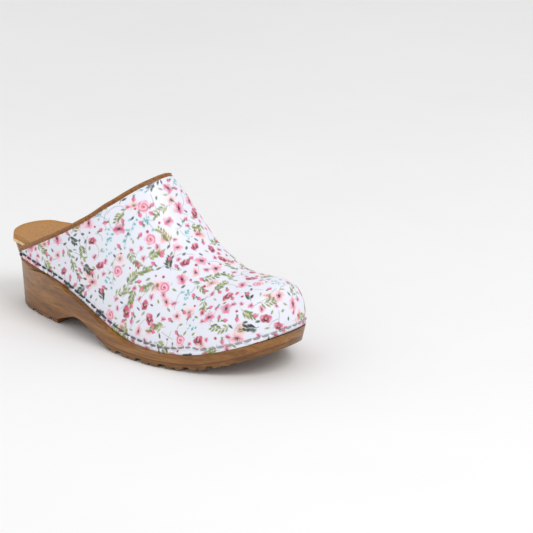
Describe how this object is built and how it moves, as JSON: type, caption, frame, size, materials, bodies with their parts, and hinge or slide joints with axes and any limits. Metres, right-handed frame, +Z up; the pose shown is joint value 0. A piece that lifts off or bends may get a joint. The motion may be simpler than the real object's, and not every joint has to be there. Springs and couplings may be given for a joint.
{
  "type": "closed-toe wooden clog",
  "caption": "Open-back clog for the right foot: wooden sole with a block heel, floral printed leather upper, rolled edging and a cushioned suede insole.",
  "frame": {"origin": "middle of the bounding box, on the ground under the soles", "axes": "+X from heel to toe, +Y towards the inner (medial) side of the right foot, +Z up"},
  "size_m": [0.259, 0.0982, 0.1157],
  "materials": {
    "wood": "satin lacquered brown wood grain",
    "tread": "matte brown rubber",
    "board": "matte cream edge",
    "foam": "soft closed-cell foam",
    "suede": "brushed tan suede",
    "printed_leather": "smooth white leather with a small floral print",
    "lining_leather": "matte brown lining leather",
    "stiffener": "matte",
    "edging_leather": "smooth brown leather, semi-gloss",
    "thread": "twisted thread",
    "cord": "thick twisted waxed cord",
    "rivet": "dark lacquered metal"
  },
  "bodies": {
    "root": {"sole_body": "wood", "heel_tread": "tread", "forefoot_tread": "tread", "insole_board": "board", "footbed_foam": "foam", "sock_lining": "suede", "upper": "printed_leather", "lining": "lining_leather", "toe_puff": "stiffener", "topline_binding": "edging_leather", "binding_stitches": "thread", "edge_stitches": "cord", "rear_rivets": "rivet"}
  },
  "joints": []
}
